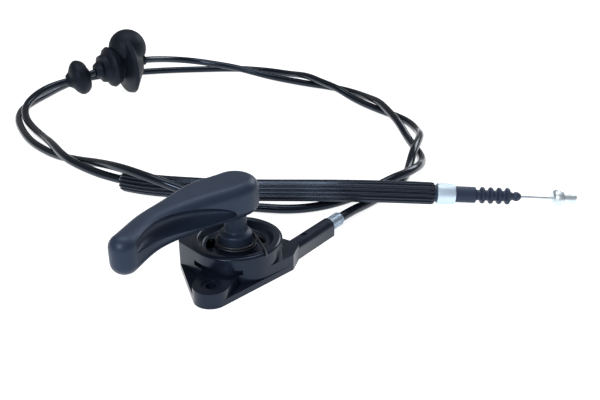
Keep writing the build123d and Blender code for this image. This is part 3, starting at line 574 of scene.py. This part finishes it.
# %% Sweep
bore_every = 6


def stations(line, step):
    """Evenly spaced points and directions along a line."""
    lengths = [0.0]
    for a, b in zip(line, line[1:]):
        lengths.append(lengths[-1] + (b - a).length)
    count = max(2, round(lengths[-1] / step))
    places = []
    index = 0
    for number in range(count + 1):
        at = lengths[-1] * number / count
        while index < len(line) - 2 and lengths[index + 1] < at:
            index += 1
        run = lengths[index + 1] - lengths[index]
        share = (at - lengths[index]) / run if run else 0.0
        places.append(line[index].lerp(line[index + 1], share))
    headings = []
    for number in range(count + 1):
        before = places[max(0, number - 1)]
        after = places[min(count, number + 1)]
        headings.append((after - before).normalized())
    return places, headings


def ring_at(form, place, ahead, radii):
    """One ring of vertices round a point of the line, given back as its edges in order."""
    side = ahead.cross(Vector((0, 0, 1))).normalized()
    turn = Matrix((side, side.cross(ahead), -ahead)).transposed().to_4x4()
    turn.translation = place
    ring = bmesh.ops.create_circle(form, segments=len(radii), radius=1.0)["verts"]
    for vertex, radius in zip(ring, radii):
        vertex.co *= radius
    bmesh.ops.transform(form, matrix=turn, verts=ring)
    return list(dict.fromkeys(edge for vertex in ring for edge in vertex.link_edges))


def drawn_in(form, edges, place, radius):
    """The ring copied inwards to a plain circle and joined to it, for the cut end of a tube."""
    made = bmesh.ops.extrude_edge_only(form, edges=edges)["geom"]
    inner = {item for item in made if isinstance(item, bmesh.types.BMVert)}
    for vertex in inner:
        vertex.co = place + (vertex.co - place).normalized() * radius
    return [item for item in made if isinstance(item, bmesh.types.BMEdge) and inner.issuperset(item.verts)]


def put_in_order(form):
    """Edges and faces sorted by their vertices, so that every run gives the same mesh."""
    form.verts.index_update()
    total = len(form.verts)
    for elements in (form.edges, form.faces):
        spans = {}
        for element in elements:
            numbers = [vertex.index for vertex in element.verts]
            spans[element] = min(numbers) * total + max(numbers)
        elements.sort(key=spans.get)


def sweep(name, places, headings, rings, bore=0.0):
    """A tube whose ring at each station comes from a function, solid or with a bore."""
    form = bmesh.new()
    line = list(zip(places, headings))
    skin = [ring_at(form, *station, rings(number)) for number, station in enumerate(line)]
    for ring, following in zip(skin, skin[1:]):
        bmesh.ops.bridge_loops(form, edges=ring + following)
    if bore:
        between = line[bore_every:-bore_every:bore_every]
        inside = [ring_at(form, *station, [bore] * len(rings(0))) for station in between]
        inside.insert(0, drawn_in(form, skin[0], places[0], bore))
        inside.append(drawn_in(form, skin[-1], places[-1], bore))
        for ring, following in zip(inside, inside[1:]):
            bmesh.ops.bridge_loops(form, edges=ring + following)
    else:
        bmesh.ops.edgeloop_fill(form, edges=skin[0])
        bmesh.ops.edgeloop_fill(form, edges=skin[-1])
    bmesh.ops.recalc_face_normals(form, faces=form.faces)
    for face in form.faces:
        face.smooth = True
    put_in_order(form)
    mesh = bpy.data.meshes.new(name)
    form.to_mesh(mesh)
    form.free()
    piece = bpy.data.objects.new(name, mesh)
    bpy.context.scene.collection.objects.link(piece)
    return piece


# %% [markdown]
# ## The ribbed sleeve
# A real sleeve of this kind is an extruded rubber tube with rounded ribs all the way round, and
# its cut end shows a small bevel. The section is a circle whose radius dips between the ribs,
# and the first and last rings are drawn in a little for the bevel. Its bore leaves the conduit
# and the wire clear.

# %% Ribbed sleeve
sleeve_r = 7.2
sleeve_ribs = 16
rib_depth = 1.0
rib_points = 10
rib_flat = 1.6
cut_bevel = 0.94
sleeve_bore_r = conduit_r + 0.25
sleeve_step = 1.6


def sleeve_ring(number):
    """Radii round the sleeve: broad rounded ribs with narrower dips between them."""
    bevel = cut_bevel if number in (0, len(sleeve_places) - 1) else 1.0
    radii = []
    for point in range(sleeve_ribs * rib_points):
        wave = 0.5 - 0.5 * math.cos(2 * math.pi * point / rib_points)
        radii.append((sleeve_r - rib_depth * (1 - wave) ** rib_flat) * bevel * MM)
    return radii


sleeve_start = (route[sleeve_run] + route[sleeve_run + 1]) * 0.5
sleeve_line = line_of([sleeve_start] + route[sleeve_run + 1 : -1] + [mouth])
sleeve_places, sleeve_headings = stations(sleeve_line, sleeve_step * MM)
ribbed_sleeve = sweep(
    "ribbed_sleeve_finish", sleeve_places, sleeve_headings, sleeve_ring, sleeve_bore_r * MM
)
ribbed_sleeve.data.materials.append(sleeve_rubber)
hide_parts("ribbed_sleeve")
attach(ribbed_sleeve, "housing")
print("sleeve rings", len(sleeve_places), "vertices", len(ribbed_sleeve.data.vertices))

# %% [markdown]
# ## The pull wire
# The inner wire is steel strands laid in a slow twist. Its section is a circle with one low lobe
# for each strand, and each ring is turned a little further than the one before.

# %% Pull wire
strand_count = 6
strand_points = 6
strand_height = 0.07
wire_r = 0.75
lay_length = 9.0
wire_step = 0.5


def wire_ring(number):
    """Radii round the wire, with the strands turned on by the distance gone."""
    turned = 2 * math.pi * number * wire_step / lay_length
    radii = []
    for point in range(strand_count * strand_points):
        angle = strand_count * (2 * math.pi * point / (strand_count * strand_points) - turned)
        radii.append((wire_r - strand_height * (0.5 - 0.5 * math.cos(angle))) * MM)
    return radii


reach = [(vertex.co - mouth).dot(end_dir) for vertex in nodes["pull_wire"].data.vertices]
wire_ends = [along_end(min(reach) / MM), along_end(max(reach) / MM)]
wire_places, wire_headings = stations(wire_ends, wire_step * MM)
pull_wire = sweep("pull_wire_finish", wire_places, wire_headings, wire_ring)
pull_wire.data.materials.append(wire_metal)
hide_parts("pull_wire")
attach(pull_wire, "wire_far")
print("wire from", round(min(reach), 4), "to", round(max(reach), 4))

# %% [markdown]
# ## Floor and light
# The photograph is a cut-out look on plain white. The floor is pale for the light that falls on
# it and white for the camera and for reflections, and big soft lamps give the long highlights
# on the plastic.


# %% Stage
def white_stage(name, colour, glow):
    """A pale surface that the camera and reflections see as white, with a faint shadow."""
    material = bpy.data.materials.new(name)
    material.use_nodes = True
    tree = material.node_tree
    shader = tree.nodes["Principled BSDF"]
    shader.inputs["Base Color"].default_value = colour
    shader.inputs["Roughness"].default_value = 0.9
    shader.inputs["Specular IOR Level"].default_value = 0.1
    rays = tree.nodes.new("ShaderNodeLightPath")
    seen = math_node(tree, "MAXIMUM", rays.outputs["Is Camera Ray"], rays.outputs["Is Glossy Ray"])
    seen = math_node(tree, "MAXIMUM", seen, rays.outputs["Is Transmission Ray"])
    tree.links.new(math_node(tree, "MULTIPLY", seen, glow), shader.inputs["Emission Strength"])
    shader.inputs["Emission Color"].default_value = (1, 1, 1, 1)
    return material


floor_half = 6.0
floor_colour = (0.5, 0.52, 0.56, 1)
floor_glow = 0.88
sky_light = 0.25
sky_seen = 0.75

floor_form = bmesh.new()
bmesh.ops.create_grid(floor_form, x_segments=1, y_segments=1, size=floor_half)
floor_mesh = bpy.data.meshes.new("floor")
floor_form.to_mesh(floor_mesh)
floor_form.free()
floor = bpy.data.objects.new("floor", floor_mesh)
bpy.context.scene.collection.objects.link(floor)
floor_mesh.materials.append(white_stage("floor_white", floor_colour, floor_glow))

world = bpy.data.worlds.new("studio")
bpy.context.scene.world = world
world.use_nodes = True
sky = world.node_tree
light_rays = sky.nodes.new("ShaderNodeLightPath")
background = sky.nodes["Background"]
background.inputs["Color"].default_value = (1, 1, 1, 1)
seen_sky = math_node(sky, "MULTIPLY", light_rays.outputs["Is Camera Ray"], sky_seen)
sky.links.new(math_node(sky, "ADD", seen_sky, sky_light), background.inputs["Strength"])


def soft_lamp(name, place, target, width, depth, power):
    """A large area lamp that points at the object."""
    lamp = bpy.data.lights.new(name, "AREA")
    lamp.shape = "RECTANGLE"
    lamp.size = width
    lamp.size_y = depth
    lamp.energy = power
    holder = bpy.data.objects.new(name, lamp)
    holder.location = place
    holder.rotation_euler = (Vector(target) - Vector(place)).to_track_quat("-Z", "Y").to_euler()
    bpy.context.scene.collection.objects.link(holder)


# Name, place, width and depth in metres, power in watts
lamps = [
    ("overhead", (0.0, 0.35, 1.1), 0.9, 0.6, 5),
    ("front_left", (-0.4, -0.9, 0.75), 0.45, 0.45, 7),
    ("back_right", (0.8, 1.2, 0.7), 0.8, 0.4, 5),
]
lit_middle = (0.0, 0.2, 0.0)
for name, place, width, depth, power in lamps:
    soft_lamp(name, place, lit_middle, width, depth, power)

bpy.context.scene.view_settings.view_transform = "Standard"
